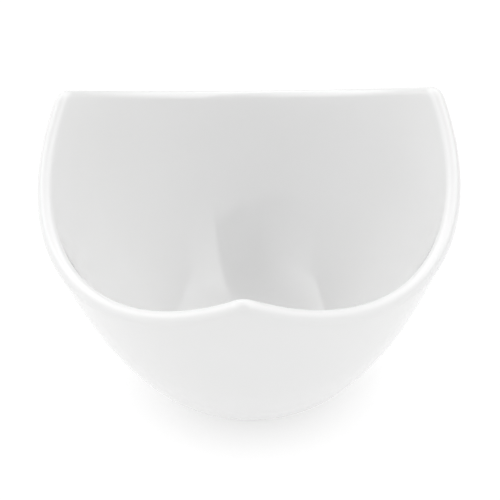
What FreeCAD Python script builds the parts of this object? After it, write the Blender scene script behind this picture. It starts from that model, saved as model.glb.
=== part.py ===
"""Deep white porcelain dish with a three-pointed rim, in millimetres.

The dish is one fired porcelain body with a coat of clear glaze fused to it. Three pieces are written: the body
with its bare foot ring, the coat over the inside, the lip and the outside, and the patch of glaze on the
underside within the foot ring. +Z is up, the origin is on the dish's axis in the plane that the foot ring stands
on, and one of the rim's three points faces -Y.
"""
import FreeCAD, Part
import math
import os

# Wall: even near the rim, then thicker towards the base
WALL = 5.2               # thickness at the lip, with its glaze
RADIUS = 70.0            # outside radius at REFERENCE_HEIGHT
REFERENCE_HEIGHT = 75.0
WALL_LEAN = 18.5         # degrees from the vertical at REFERENCE_HEIGHT, leaning outwards
UPPER_CURVE = 600.0      # radius of the nearly straight upper wall

# Each side is three arcs that meet smoothly: (radius, height where it ends) from the rim down to a flat middle
OUTSIDE_CURVES = ((UPPER_CURVE, 43.5), (132.0, 13.4), (27.2, None))
INSIDE_CURVES = ((UPPER_CURVE - WALL, 57.0), (138.0, 17.0), (24.0, None))

# Rim: three tilted planes that meet on the axis cut the wall, so that it rises to three points
POINTS = 3
APEX_HEIGHT = 117.9      # where the three planes meet
CUT_TILT = 36.4          # degrees from the horizontal, falling outwards
POINT_ROUND = 7.0        # radius over the ridge where two cuts meet
LIP_ROUND = 2.5          # radius of each edge of the lip
LIP_LOW = 62.0           # a height below the whole lip and above the end of the inside's first arc

# Glaze
GLAZE = 0.3              # thickness of the fused coat
GLAZE_LINE = 27.2        # radius on the outside where the coat stops short of the foot ring
GLAZE_LINE_TOP = 5.0     # a height inside the thickness of the base

# Foot ring
FOOT_OUTER = 25.5
FOOT_WIDTH = 5.0
FOOT_DRAFT = 0.5         # how much each side of the ring leans in towards its bottom
FOOT_EDGE = 0.8          # radius of the ring's bottom edges
FOOT_COVE = 0.9          # radius where the ring runs into the base

BLANK_TOP = 105.0        # height of the turned blank before its rim is cut
UP = FreeCAD.Vector(0, 0, 1)
CENTRE = FreeCAD.Vector(0, 0, 0)


def place(radius, height):
    """A point of the half section, which lies in the XZ plane."""
    return FreeCAD.Vector(radius, 0, height)


def arc_chain(curves):
    """One side's arcs from the rim down: (curve radius, centre radius, centre height, lean at top, at end).

    At a lean from the vertical a, an arc's point is its centre plus radius * (cos a, -sin a).
    """
    start = math.radians(WALL_LEAN)
    centre_r = RADIUS - UPPER_CURVE * math.cos(start)
    centre_z = REFERENCE_HEIGHT + UPPER_CURVE * math.sin(start)
    top = math.asin((centre_z - BLANK_TOP) / UPPER_CURVE)
    chain = []
    for index, (curve, end_height) in enumerate(curves):
        if index:
            step = curves[index - 1][0] - curve
            centre_r += step * math.cos(top)
            centre_z -= step * math.sin(top)
        end = math.asin((centre_z - end_height) / curve) if end_height else math.pi / 2
        chain.append((curve, centre_r, centre_z, top, end))
        top = end
    return chain


def wall_edges(curves, shift):
    """One side's arcs moved outwards by shift, as edges from the rim down."""
    edges = []
    for curve, centre_r, centre_z, top, end in arc_chain(curves):
        radius = curve + shift
        middle = (top + end) / 2
        ends = []
        for lean in (top, middle, end):
            ends.append(place(centre_r + radius * math.cos(lean), centre_z - radius * math.sin(lean)))
        edges.append(Part.Arc(*ends).toShape())
    return edges


def straight(start, end):
    return Part.LineSegment(start, end).toShape()


def turned_blank(inset):
    """The dish before its rim is cut, with every surface moved inset into the wall."""
    outside = wall_edges(OUTSIDE_CURVES, -inset)
    inside = wall_edges(INSIDE_CURVES, inset)
    outer_top = outside[0].Vertexes[0].Point
    inner_top = inside[0].Vertexes[0].Point
    outer_base = outside[-1].Vertexes[-1].Point
    inner_floor = inside[-1].Vertexes[-1].Point
    outline = outside + inside
    outline.append(straight(outer_top, inner_top))
    outline.append(straight(outer_base, place(0, outer_base.z)))
    outline.append(straight(inner_floor, place(0, inner_floor.z)))
    outline.append(straight(place(0, outer_base.z), place(0, inner_floor.z)))
    wire = Part.Wire(Part.__sortEdges__(outline))
    return Part.Face(wire).revolve(CENTRE, UP, 360)


def rim_cutter(inset):
    """A solid under the three tilted planes, moved inset downwards into the wall, with its ridges rounded."""
    tilt = math.radians(CUT_TILT)
    apex = FreeCAD.Vector(0, 0, APEX_HEIGHT - inset / math.cos(tilt))
    ridge_slope = math.tan(tilt) * math.cos(math.pi / POINTS)
    reach = apex.z / ridge_slope
    corners = []
    for index in range(POINTS):
        angle = math.radians(360 * index / POINTS - 90)
        corners.append(FreeCAD.Vector(reach * math.cos(angle), reach * math.sin(angle), 0))
    faces = [Part.Face(Part.makePolygon(corners[::-1] + corners[-1:]))]
    for index in range(POINTS):
        side = [apex, corners[index], corners[(index + 1) % POINTS], apex]
        faces.append(Part.Face(Part.makePolygon(side)))
    pyramid = Part.makeSolid(Part.makeShell(faces))
    ridges = [edge for edge in pyramid.Edges if edge.BoundBox.ZLength > 1]
    return pyramid.makeFillet(POINT_ROUND - inset, ridges)


def lip_edges(shape):
    """The edges where the cut rim meets the inside and the outside of the wall."""
    found = []
    for edge in shape.Edges:
        turned = [type(face.Surface) is Part.SurfaceOfRevolution
                  for face in shape.ancestorsOfType(edge, Part.Face)]
        if edge.BoundBox.ZMin > LIP_LOW and sorted(turned) == [False, True]:
            found.append(edge)
    return found


def dish(inset):
    """The whole dish without its foot ring, with every surface moved inset into the wall."""
    cut = turned_blank(inset).common(rim_cutter(inset))
    return cut.makeFillet(LIP_ROUND - inset, lip_edges(cut))


def foot_ring():
    """The bare ring that the dish stands on, run up into the base's thickness."""
    bottom_outer = FOOT_OUTER - FOOT_DRAFT
    bottom_inner = FOOT_OUTER - FOOT_WIDTH + FOOT_DRAFT
    outline = [
        place(bottom_inner, 0),
        place(bottom_outer, 0),
        place(FOOT_OUTER, GLAZE_LINE_TOP),
        place(FOOT_OUTER - FOOT_WIDTH, GLAZE_LINE_TOP),
    ]
    return Part.Face(Part.makePolygon(outline + outline[:1])).revolve(CENTRE, UP, 360)


def circles(shape, low, high, least, most):
    """The full circles about the axis between two heights and between two radii."""
    found = []
    for edge in shape.Edges:
        box = edge.BoundBox
        radius = edge.Length / (2 * math.pi)
        if edge.isClosed() and low <= box.ZMin and box.ZMax <= high and least <= radius <= most:
            found.append(edge)
    return found


def porcelain_body(biscuit):
    """The fired body: the dish under its glaze, with the foot ring and its rounded edges."""
    body = biscuit.fuse(foot_ring()).removeSplitter()
    body = body.makeFillet(FOOT_COVE, circles(body, 1, GLAZE_LINE_TOP, FOOT_OUTER - FOOT_WIDTH, FOOT_OUTER))
    return body.makeFillet(FOOT_EDGE, circles(body, -1, 0.01, 0, FOOT_OUTER))


def glaze_coat(biscuit):
    """The coat over the inside, the lip and the outside, down to the glaze line above the foot ring."""
    bare_base = Part.makeCylinder(GLAZE_LINE, GLAZE_LINE_TOP)
    return dish(0).cut(biscuit).cut(bare_base)


def base_glaze(biscuit):
    """The round patch of glaze on the underside, within the foot ring."""
    radius = FOOT_OUTER - FOOT_WIDTH - FOOT_COVE
    return dish(0).cut(biscuit).common(Part.makeCylinder(radius, GLAZE_LINE_TOP))


def main():
    os.makedirs("parts", exist_ok=True)
    biscuit = dish(GLAZE)
    pieces = {
        "porcelain_body": porcelain_body(biscuit),
        "glaze_coat": glaze_coat(biscuit),
        "base_glaze": base_glaze(biscuit),
    }
    for name, shape in pieces.items():
        solid = shape.Solids[0]
        solid.exportStep("parts/" + name + ".step")
        print(name, len(shape.Solids), solid.isValid(), round(solid.Volume))


main()
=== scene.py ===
"""A deep white porcelain dish with a three-pointed rim, alone on a pale studio floor.

The dish is drawn in metres. Each side of its wall is a chain of arcs. Moved into the wall by the glaze's
thickness, the chains give the fired body, and the lip is rolled about a line midway through the wall.
"""
import math

import bpy
import numpy as np
from mathutils import Matrix, Vector


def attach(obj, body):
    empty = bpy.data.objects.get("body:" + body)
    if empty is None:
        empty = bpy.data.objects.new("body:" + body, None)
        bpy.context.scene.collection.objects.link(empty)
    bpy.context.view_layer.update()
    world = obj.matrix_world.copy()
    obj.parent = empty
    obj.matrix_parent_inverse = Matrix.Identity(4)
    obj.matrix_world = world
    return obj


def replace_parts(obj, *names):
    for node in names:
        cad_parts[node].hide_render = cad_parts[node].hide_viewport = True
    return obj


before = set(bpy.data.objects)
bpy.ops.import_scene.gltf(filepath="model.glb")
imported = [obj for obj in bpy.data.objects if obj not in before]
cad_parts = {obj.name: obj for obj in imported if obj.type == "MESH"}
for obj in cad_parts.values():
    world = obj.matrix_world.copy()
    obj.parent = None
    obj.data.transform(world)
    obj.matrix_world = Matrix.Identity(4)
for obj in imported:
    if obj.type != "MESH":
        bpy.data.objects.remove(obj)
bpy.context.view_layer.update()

MM = 0.001

# Wall: on each side three arcs that meet smoothly, as (radius, height where it ends), from the rim down
WALL = 5.2 * MM          # thickness at the lip
HALF = WALL / 2
RADIUS = 70.0 * MM       # of the outside at REFERENCE_HEIGHT
REFERENCE_HEIGHT = 75.0 * MM
WALL_LEAN = math.radians(18.5)   # from the vertical at REFERENCE_HEIGHT, leaning outwards
UPPER_CURVE = 600.0 * MM
OUTSIDE_CURVES = ((UPPER_CURVE, 43.5 * MM), (132.0 * MM, 13.4 * MM), (27.2 * MM, None))
INSIDE_CURVES = ((UPPER_CURVE - WALL, 57.0 * MM), (138.0 * MM, 17.0 * MM), (24.0 * MM, None))
BLANK_TOP = 105.0 * MM   # where the arcs start, above the whole rim

# Rim: three tilted planes that meet on the axis, one falling to each side between two points
POINTS = 3
APEX_HEIGHT = 117.9 * MM
CUT_TILT = math.radians(36.4)
POINT_ROUND = 7.0 * MM   # radius over the ridge where two cuts meet
FRONT = -math.pi / 2     # azimuth of the point that faces the viewer

# Glaze and foot ring
GLAZE = 0.3 * MM         # thickness of the fused coat
GLAZE_LINE = 27.2 * MM   # radius on the outside where the coat stops short of the foot ring
FOOT_OUTER = 25.5 * MM
FOOT_WIDTH = 5.0 * MM
FOOT_DRAFT = 0.5 * MM    # how much each side of the ring leans in over FOOT_SIDE
FOOT_SIDE = 5.0 * MM
FOOT_EDGE = 0.8 * MM     # radius of the ring's bottom edges
FOOT_COVE = 0.9 * MM     # radius where the ring runs into the base
BASE_SLOPE = math.radians(13)    # how the base falls from the glaze line in to the ring
BASE_GLAZE_RADIUS = FOOT_OUTER - FOOT_WIDTH - FOOT_COVE
BASE_GLAZE_EDGE = 0.4 * GLAZE    # radius of the edges of the patch of glaze on the underside

# Mesh density
COLUMNS_PER_SIDE = 96    # around the rim, from one point to the next
POINT_CROWDING = 2.6     # how much closer together the columns stand at a point
WALL_ROWS = 48
LIP_ROWS = 16
FLOOR_ROWS = 10
EDGE_ROWS = 5
HALVINGS = 40            # of the range of leans, to find the rim
NUDGE = 1e-4             # radians to either side of a column, to find the rim's direction there

# Materials
GLAZE_COLOURS = ((0.767, 0.767, 0.764), (0.775, 0.776, 0.777))
GLAZE_ROUGHNESS = (0.05, 0.09)
GLAZE_IOR = 1.55
GLAZE_WAVES = 0.10 * MM
GLAZE_GRAIN = 0.002 * MM
BISQUE_COLOURS = ((0.74, 0.71, 0.66), (0.80, 0.78, 0.74))
BISQUE_ROUGHNESS = (0.6, 0.85)
BISQUE_GRAIN = 0.03 * MM

# Floor: a pale board that glows evenly, with a painted shadow under the dish where the glow is weaker
FLOOR_REACH = 4.0        # metres from the middle to each edge
FLOOR_COLOUR = (0.30, 0.30, 0.30)
FLOOR_ROUGHNESS = 0.9
FLOOR_SPECULAR = 0.1
PAINTED_SHADOW_REACH = 48 * MM     # distance from the axis beyond which the glow is even; within it the weaker glow is a painted shadow
GLOW_AND_PAINTED_SHADOW_STOPS = ((0.40, 0.05), (0.61, 0.62), (1.0, 0.72))   # (part of the reach above, strength); the low strengths near the axis are a painted shadow under the dish

# Room: each light has a radiance, and fades by ramps. A ramp is (axis, start, end): it runs from 0 to 1 as a
# direction's part along the axis runs from start to end.
TO_FRONT = ((0, -1, 0), -1, 1)
TO_BACK = ((0, 1, 0), -1, 1)
TO_LEFT = ((-1, 0, 0), -1, 1)
TO_RIGHT = ((1, 0, 0), -1, 1)
HALF_WAY_UP = (((0, 0, 1), 0.25, 0.65), ((0, 0, -1), -1.05, -0.65))
HIGH_UP = ((0, 0, 1), 0.4, 0.9)
LOW_DOWN = ((0, 0, -1), -0.35, 0)
LEFT_SIDE = ((-1, 0, 0), 0, 1)
RIGHT_SIDE = ((1, 0, 0), 0, 1)
ROOM_LIGHTS = (
    (0.80, (TO_FRONT,)),
    (0.80, (TO_FRONT, *HALF_WAY_UP)),
    (2.50, (TO_FRONT, HIGH_UP)),
    (1.40, (TO_BACK, TO_BACK, TO_RIGHT, *HALF_WAY_UP)),
    (3.50, (TO_BACK, TO_BACK, TO_LEFT, *HALF_WAY_UP)),
    (1.60, (TO_BACK, TO_BACK, TO_LEFT, LOW_DOWN)),
    (0.40, (RIGHT_SIDE, RIGHT_SIDE)),
    (0.50, (LEFT_SIDE, LEFT_SIDE)),
)

# A darker gap in the room, from the viewer's side up over the dish, that the back of the inside reflects.
# Each ramp is one of its edges.
GAP_DEPTH = 0.9
GAP_RAMPS = (
    ((-0.88, -0.43, 0.18), -0.03, 0.03),
    ((1, -0.2, 0.2), -0.6, 0.2),
    ((0, 0.41, 1), -0.02, 0.02),
    ((-0.27, 0.41, 1), -0.02, 0.02),
)

# Camera
AIM = Vector((0, 0, 51 * MM))
DISTANCE = 700 * MM
ELEVATION = math.radians(39.43)
AROUND = math.radians(1.9)       # towards +X from the point that faces the viewer
ROLL = math.radians(-1.7)
LENS = 151.7             # millimetres, as is SENSOR
SENSOR = 36
NEAREST = 10 * MM


class Side:
    """One side of the wall: arcs from the top down, then flat in to the axis."""

    def __init__(self, curves):
        centre_r = RADIUS - UPPER_CURVE * math.cos(WALL_LEAN)
        centre_z = REFERENCE_HEIGHT + UPPER_CURVE * math.sin(WALL_LEAN)
        lean = math.asin((centre_z - BLANK_TOP) / UPPER_CURVE)
        self.top_lean = lean
        self.arcs = []           # radius, centre radius, centre height, first lean, length
        for (curve, end_height), following in zip(curves, curves[1:] + (None,)):
            end = math.asin((centre_z - end_height) / curve) if end_height else math.pi / 2
            self.arcs.append((curve, centre_r, centre_z, lean, curve * (end - lean)))
            if following:
                centre_r += (curve - following[0]) * math.cos(end)
                centre_z -= (curve - following[0]) * math.sin(end)
                lean = end
        self.flat_start = sum(arc[-1] for arc in self.arcs)
        self.flat_radius = centre_r

    def section(self, length, shift=0.0):
        """Radius and height at a length down this side, with the surface moved shift outwards."""
        length = np.asarray(length, float)
        radius, height = (np.zeros_like(length) for _ in range(2))
        start = 0.0
        for curve, centre_r, centre_z, first, span in self.arcs:
            here = length >= start
            angle = first + np.minimum(length - start, span) / curve
            radius = np.where(here, centre_r + (curve + shift) * np.cos(angle), radius)
            height = np.where(here, centre_z - (curve + shift) * np.sin(angle), height)
            start += span
        return radius - np.maximum(length - self.flat_start, 0), height

    def length_at(self, lean):
        """The length down this side of a lean that lies on its first arc."""
        return (lean - self.top_lean) * self.arcs[0][0]


OUTSIDE = Side(OUTSIDE_CURVES)
INSIDE = Side(INSIDE_CURVES)
UNDERSIDE = float(OUTSIDE.section(OUTSIDE.flat_start)[1])


def turn(radius, height, azimuth):
    """Points at a radius and height, turned to an azimuth about the axis."""
    return np.stack([radius * np.cos(azimuth), radius * np.sin(azimuth), height], axis=-1)


def wall_middle(lean, azimuth):
    """Points midway through the upper wall."""
    radius, height = OUTSIDE.section(OUTSIDE.length_at(lean), -HALF)
    return turn(radius, height, azimuth)


def rim_gap(points):
    """Signed distance from the rounded cut that the lip's centre line lies on: negative below it."""
    apex = APEX_HEIGHT - HALF / math.cos(CUT_TILT)
    ridge = POINT_ROUND - HALF
    sides = FRONT + math.pi / POINTS + 2 * math.pi / POINTS * np.arange(POINTS)
    normals = turn(math.sin(CUT_TILT), np.full(POINTS, math.cos(CUT_TILT)), sides)
    depths = (points - np.array([0, 0, apex])) @ normals.T + ridge
    depths.sort(axis=-1)
    second, first = depths[..., -2], depths[..., -1]
    cosine = float(normals[0] @ normals[1])      # of the angle between two cuts
    squared = first ** 2 + second ** 2 - 2 * first * second * cosine
    corner = np.sqrt(np.maximum(squared, 0) / (1 - cosine ** 2))
    return np.where(second > first * cosine, corner, first) - ridge


def rim_lean(azimuth):
    """The wall's lean where the lip's centre line crosses each azimuth, by halving."""
    low = np.full_like(azimuth, OUTSIDE.top_lean)
    high = low + OUTSIDE.arcs[0][-1] / UPPER_CURVE
    for _ in range(HALVINGS):
        middle = (low + high) / 2
        above = rim_gap(wall_middle(middle, azimuth)) > 0
        low = np.where(above, middle, low)
        high = np.where(above, high, middle)
    return (low + high) / 2


def rim_columns():
    """Azimuths of the mesh's columns, closest together at the rim's points."""
    half = COLUMNS_PER_SIDE // 2
    steps = np.arange(-half, half) / half
    spread = np.sinh(POINT_CROWDING * steps) / math.sinh(POINT_CROWDING)
    azimuths = [FRONT + 2 * math.pi / POINTS * (index + spread / 2) for index in range(POINTS)]
    return np.concatenate(azimuths)


COLUMNS = rim_columns()
RIM_LEAN = rim_lean(COLUMNS)


def lip_frame():
    """The lip's centre line, and across it the directions out of the wall and up from it."""
    ahead, behind = (wall_middle(rim_lean(COLUMNS + step), COLUMNS + step) for step in (NUDGE, -NUDGE))
    outward = turn(np.cos(RIM_LEAN), -np.sin(RIM_LEAN), COLUMNS)
    upward = np.cross(ahead - behind, outward)
    upward *= np.sign(upward[:, 2:]) / np.linalg.norm(upward, axis=1, keepdims=True)
    return wall_middle(RIM_LEAN, COLUMNS), outward, upward


LIP = lip_frame()


def wall_rows(side, shift, end, closing=False):
    """Rows from the lip down one side of the wall to a length, with the surface moved shift outwards.

    The row at that length is left out, unless closing is set.
    """
    start = side.length_at(RIM_LEAN)
    rows = []
    for step in np.linspace(0, 1, WALL_ROWS, endpoint=closing):
        radius, height = side.section(start + (end - start) * step, shift)
        rows.append(turn(radius, height, COLUMNS))
    return rows


def lip_rows(inset):
    """Rows over the lip from the outside to the inside, without its first and last."""
    centre, outward, upward = LIP
    rows = []
    for angle in np.linspace(0, math.pi, LIP_ROWS + 1)[1:-1]:
        rows.append(centre + (HALF - inset) * (math.cos(angle) * outward + math.sin(angle) * upward))
    return rows


def turned_rows(profile):
    """Rows for a turned profile of (radius, height) pairs."""
    rows = []
    for radius, height in profile:
        rows.append(turn(np.full_like(COLUMNS, radius), np.full_like(COLUMNS, height), COLUMNS))
    return rows


def pole(height):
    """A row that is one point on the axis."""
    return np.array([[0.0, 0.0, height]])


def dish_inside(inset):
    """Rows of the whole inside, from the lip to the axis, moved inset into the wall."""
    rows = wall_rows(INSIDE, inset, INSIDE.flat_start)
    lengths = INSIDE.flat_start + np.linspace(0, INSIDE.flat_radius, FLOOR_ROWS, endpoint=False)
    radius, height = INSIDE.section(lengths, inset)
    return rows + turned_rows(zip(radius, height)) + [pole(height[-1])]


def mesh_object(name, rows, material):
    """A closed smooth mesh of rows of points, whose first and last rows are single points on the axis."""
    width = len(COLUMNS)
    starts = np.cumsum([0] + [len(row) for row in rows]).tolist()
    faces = []
    for index in range(len(rows) - 1):
        upper = starts[index]
        lower = starts[index + 1]
        for column in range(width):
            beside = (column + 1) % width
            if len(rows[index]) == 1:
                faces.append([upper, lower + column, lower + beside])
            elif len(rows[index + 1]) == 1:
                faces.append([upper + column, lower, upper + beside])
            else:
                faces.append([upper + column, lower + column, lower + beside, upper + beside])
    mesh = bpy.data.meshes.new(name)
    mesh.from_pydata(np.concatenate(rows).tolist(), [], faces)
    mesh.polygons.foreach_set("use_smooth", [True] * len(mesh.polygons))
    mesh.materials.append(material)
    mesh.update()
    piece = bpy.data.objects.new(name, mesh)
    bpy.context.scene.collection.objects.link(piece)
    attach(piece, "root")
    return piece


def glaze_line_length():
    """The length down the outside where its radius is the glaze line's."""
    curve, centre_r, _, first, span = OUTSIDE.arcs[-1]
    lean = math.acos((GLAZE_LINE - centre_r) / curve)
    return OUTSIDE.flat_start - span + curve * (lean - first)


def glaze_edge_rows(end):
    """Rows round the coat's rolled edge at the glaze line, from its outer face to the face on the body."""
    rows = []
    for angle in np.linspace(0, math.pi, EDGE_ROWS + 1)[1:-1]:
        shift = GLAZE / 2 * (math.cos(angle) - 1)
        radius, height = OUTSIDE.section(np.full_like(COLUMNS, end + GLAZE / 2 * math.sin(angle)), shift)
        rows.append(turn(radius, height, COLUMNS))
    return rows


def glaze_coat(material):
    """The glaze from the middle of the well, over the lip and down to the glaze line, as a closed skin."""
    end = glaze_line_length()
    rows = dish_inside(0)[::-1] + lip_rows(0)[::-1]
    rows += wall_rows(OUTSIDE, 0, end, closing=True) + glaze_edge_rows(end)
    rows += wall_rows(OUTSIDE, -GLAZE, end, closing=True)[::-1] + lip_rows(GLAZE) + dish_inside(GLAZE)
    return mesh_object("dish_glaze", rows, material)


def rounded(corners, radii):
    """A polyline's points with each inner corner replaced by an arc of its radius."""
    points = [corners[0]]
    for before, corner, after, radius in zip(corners, corners[1:], corners[2:], radii):
        before, corner, after = (np.array(point, float) for point in (before, corner, after))
        back = (before - corner) / np.linalg.norm(before - corner)
        ahead = (after - corner) / np.linalg.norm(after - corner)
        half_angle = math.acos(np.clip(back @ ahead, -1, 1)) / 2
        bisector = (back + ahead) / np.linalg.norm(back + ahead)
        centre = corner + bisector * radius / math.sin(half_angle)
        start = corner + back * radius / math.tan(half_angle) - centre
        finish = corner + ahead * radius / math.tan(half_angle) - centre
        for step in np.linspace(0, 1, EDGE_ROWS + 1):
            arm = start * (1 - step) + finish * step
            points.append(centre + radius * arm / np.linalg.norm(arm))
    points.append(corners[-1])
    return [(float(radius), float(height)) for radius, height in points]


def foot_profile(start, under):
    """The foot ring's outline, from a point on the wall's outside to the flat underside within the ring."""
    side = FOOT_DRAFT / FOOT_SIDE
    outer_top = start[1] - (start[0] - FOOT_OUTER) * math.tan(BASE_SLOPE)
    inner = FOOT_OUTER - FOOT_WIDTH
    corners = [
        start,
        (FOOT_OUTER - FOOT_DRAFT + side * outer_top, outer_top),
        (FOOT_OUTER - FOOT_DRAFT, 0),
        (inner + FOOT_DRAFT, 0),
        (inner + FOOT_DRAFT - side * under, under),
        (BASE_GLAZE_RADIUS - FOOT_COVE, under),
    ]
    return rounded(corners, (FOOT_COVE, FOOT_EDGE, FOOT_EDGE, FOOT_COVE))


def porcelain_body(material):
    """The fired body under the glaze, closed by the foot ring and the flat underside."""
    end = glaze_line_length()
    rows = dish_inside(GLAZE)[::-1] + lip_rows(GLAZE)[::-1] + wall_rows(OUTSIDE, -GLAZE, end)
    start = tuple(float(value) for value in OUTSIDE.section(end, -GLAZE))
    rows += turned_rows(foot_profile(start, UNDERSIDE + GLAZE)) + [pole(UNDERSIDE + GLAZE)]
    return mesh_object("dish_body", rows, material)


def base_glaze(material):
    """The patch of glaze on the underside, a thin round disc with a rolled edge."""
    corners = [
        (BASE_GLAZE_RADIUS / 2, UNDERSIDE + GLAZE),
        (BASE_GLAZE_RADIUS, UNDERSIDE + GLAZE),
        (BASE_GLAZE_RADIUS, UNDERSIDE),
        (BASE_GLAZE_RADIUS / 2, UNDERSIDE),
    ]
    profile = rounded(corners, (BASE_GLAZE_EDGE, BASE_GLAZE_EDGE))
    rows = [pole(UNDERSIDE + GLAZE)] + turned_rows(profile) + [pole(UNDERSIDE)]
    return mesh_object("base_glaze_disc", rows, material)


def new_material(name):
    """A node material, with its nodes, its links and its shader."""
    material = bpy.data.materials.new(name)
    material.use_nodes = True
    nodes = material.node_tree.nodes
    return material, nodes, material.node_tree.links, nodes["Principled BSDF"]


def noise(nodes, links, scale, detail):
    """A noise texture in the object's own metres, finer with a higher scale."""
    place = nodes.new("ShaderNodeTexCoord")
    texture = nodes.new("ShaderNodeTexNoise")
    texture.inputs["Scale"].default_value = scale
    texture.inputs["Detail"].default_value = detail
    links.new(place.outputs["Object"], texture.inputs["Vector"])
    return texture.outputs["Fac"]


def between(nodes, links, factor, low, high, start=0.3, end=0.7):
    """A value that runs from low to high as a factor runs from start to end.

    Noise mostly lies in 0.3 to 0.7.
    """
    scaled = nodes.new("ShaderNodeMapRange")
    scaled.inputs["From Min"].default_value = start
    scaled.inputs["From Max"].default_value = end
    scaled.inputs["To Min"].default_value = low
    scaled.inputs["To Max"].default_value = high
    links.new(factor, scaled.inputs["Value"])
    return scaled.outputs["Result"]


def blended(nodes, links, factor, first, second):
    """A colour that runs from first to second with a factor."""
    mix = nodes.new("ShaderNodeMix")
    mix.data_type = "RGBA"
    mix.inputs["A"].default_value = (*first, 1)
    mix.inputs["B"].default_value = (*second, 1)
    links.new(factor, mix.inputs["Factor"])
    return mix.outputs["Result"]


def bumped(nodes, links, height, distance, under=None):
    """A bump of a height field, on top of another where one is given."""
    bump = nodes.new("ShaderNodeBump")
    bump.inputs["Strength"].default_value = 1.0
    bump.inputs["Distance"].default_value = distance
    links.new(height, bump.inputs["Height"])
    if under is not None:
        links.new(under, bump.inputs["Normal"])
    return bump.outputs["Normal"]


def glaze_material():
    """Clear gloss glaze over white porcelain, a little cooler in broad patches."""
    material, nodes, links, shader = new_material("glaze")
    tone = between(nodes, links, noise(nodes, links, scale=14, detail=2), 0, 1)
    links.new(blended(nodes, links, tone, *GLAZE_COLOURS), shader.inputs["Base Color"])
    haze = noise(nodes, links, scale=60, detail=3)
    links.new(between(nodes, links, haze, *GLAZE_ROUGHNESS), shader.inputs["Roughness"])
    shader.inputs["IOR"].default_value = GLAZE_IOR
    waves = bumped(nodes, links, noise(nodes, links, scale=30, detail=1), GLAZE_WAVES)
    grain = noise(nodes, links, scale=600, detail=2)
    links.new(bumped(nodes, links, grain, GLAZE_GRAIN, waves), shader.inputs["Normal"])
    return material


def bisque_material():
    """Bare fired porcelain: matt, faintly warm and finely grained."""
    material, nodes, links, shader = new_material("bisque")
    grain = noise(nodes, links, scale=2500, detail=4)
    stain = between(nodes, links, noise(nodes, links, scale=90, detail=4), 0, 1)
    links.new(blended(nodes, links, stain, *BISQUE_COLOURS), shader.inputs["Base Color"])
    links.new(between(nodes, links, grain, *BISQUE_ROUGHNESS), shader.inputs["Roughness"])
    links.new(bumped(nodes, links, grain, BISQUE_GRAIN), shader.inputs["Normal"])
    return material


def calculated(nodes, links, operation, first, second):
    """A math node's result for two values, each of them a number or another node's output."""
    step = nodes.new("ShaderNodeMath")
    step.operation = operation
    for socket, value in zip(step.inputs, (first, second)):
        if isinstance(value, float):
            socket.default_value = value
        else:
            links.new(value, socket)
    return step.outputs["Value"]


def stepped(nodes, links, factor, stops):
    """A value that runs straight from stop to stop, each of them a factor up to 1 and its value."""
    ramp = nodes.new("ShaderNodeValToRGB")
    elements = ramp.color_ramp.elements
    elements.remove(elements[1])
    for index, (position, value) in enumerate(stops):
        element = elements.new(position) if index else elements[0]
        element.position = position
        element.color = (value, value, value, 1)
    links.new(factor, ramp.inputs["Fac"])
    return ramp.outputs["Color"]


def floor_material():
    """A matt board that glows white, and less so round the dish's foot, which paints a shadow there."""
    material, nodes, links, shader = new_material("floor")
    place = nodes.new("ShaderNodeTexCoord")
    distance = nodes.new("ShaderNodeVectorMath")
    distance.operation = "LENGTH"
    links.new(place.outputs["Object"], distance.inputs[0])
    # The glow's strength by distance from the axis: weaker near the foot, as a painted shadow under the
    # dish.
    reach = calculated(nodes, links, "DIVIDE", distance.outputs["Value"], PAINTED_SHADOW_REACH)
    links.new(stepped(nodes, links, reach, GLOW_AND_PAINTED_SHADOW_STOPS), shader.inputs["Emission Strength"])
    shader.inputs["Emission Color"].default_value = (1, 1, 1, 1)
    shader.inputs["Base Color"].default_value = (*FLOOR_COLOUR, 1)
    shader.inputs["Roughness"].default_value = FLOOR_ROUGHNESS
    shader.inputs["Specular IOR Level"].default_value = FLOOR_SPECULAR
    return material


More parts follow.
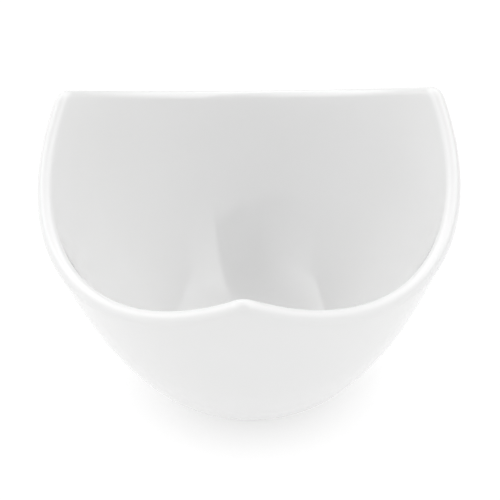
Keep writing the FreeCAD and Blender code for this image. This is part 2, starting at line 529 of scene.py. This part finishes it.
def studio_floor():
    """The square board that the dish stands on."""
    mesh = bpy.data.meshes.new("floor")
    corners = [(x * FLOOR_REACH, y * FLOOR_REACH, 0) for x, y in ((-1, -1), (1, -1), (1, 1), (-1, 1))]
    mesh.from_pydata(corners, [], [(0, 1, 2, 3)])
    mesh.materials.append(floor_material())
    floor = bpy.data.objects.new("floor", mesh)
    bpy.context.scene.collection.objects.link(floor)


def faded(nodes, links, direction, level, ramps):
    """A level that fades by every ramp's part of a direction."""
    for axis, start, end in ramps:
        part = nodes.new("ShaderNodeVectorMath")
        part.operation = "DOT_PRODUCT"
        part.inputs[1].default_value = axis
        links.new(direction, part.inputs[0])
        fade = between(nodes, links, part.outputs["Value"], 0, 1, start, end)
        level = calculated(nodes, links, "MULTIPLY", level, fade)
    return level


def studio_room():
    """The white room's light by direction, with its darker gap."""
    world = bpy.data.worlds.new("studio")
    world.use_nodes = True
    nodes = world.node_tree.nodes
    links = world.node_tree.links
    direction = nodes.new("ShaderNodeTexCoord").outputs["Generated"]
    total = 0.0
    for radiance, ramps in ROOM_LIGHTS:
        total = calculated(nodes, links, "ADD", total, faded(nodes, links, direction, radiance, ramps))
    kept = calculated(nodes, links, "SUBTRACT", 1.0, faded(nodes, links, direction, GAP_DEPTH, GAP_RAMPS))
    links.new(calculated(nodes, links, "MULTIPLY", total, kept), nodes["Background"].inputs["Color"])
    bpy.context.scene.world = world


def camera():
    """The viewer's camera, a little to the right of the front point."""
    direction = Vector((
        math.cos(ELEVATION) * math.sin(AROUND),
        -math.cos(ELEVATION) * math.cos(AROUND),
        math.sin(ELEVATION),
    ))
    lens = bpy.data.cameras.new("camera")
    lens.lens = LENS
    lens.sensor_width = SENSOR
    lens.clip_start = NEAREST
    viewer = bpy.data.objects.new("camera", lens)
    turned = (-direction).to_track_quat("-Z", "Y").to_matrix().to_4x4() @ Matrix.Rotation(ROLL, 4, "Z")
    viewer.matrix_world = Matrix.Translation(AIM + DISTANCE * direction) @ turned
    bpy.context.scene.collection.objects.link(viewer)
    bpy.context.scene.camera = viewer


glaze = glaze_material()
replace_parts(glaze_coat(glaze), "glaze_coat")
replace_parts(porcelain_body(bisque_material()), "porcelain_body")
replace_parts(base_glaze(glaze), "base_glaze")
studio_floor()
studio_room()
camera()
bpy.context.scene.view_settings.view_transform = "Standard"
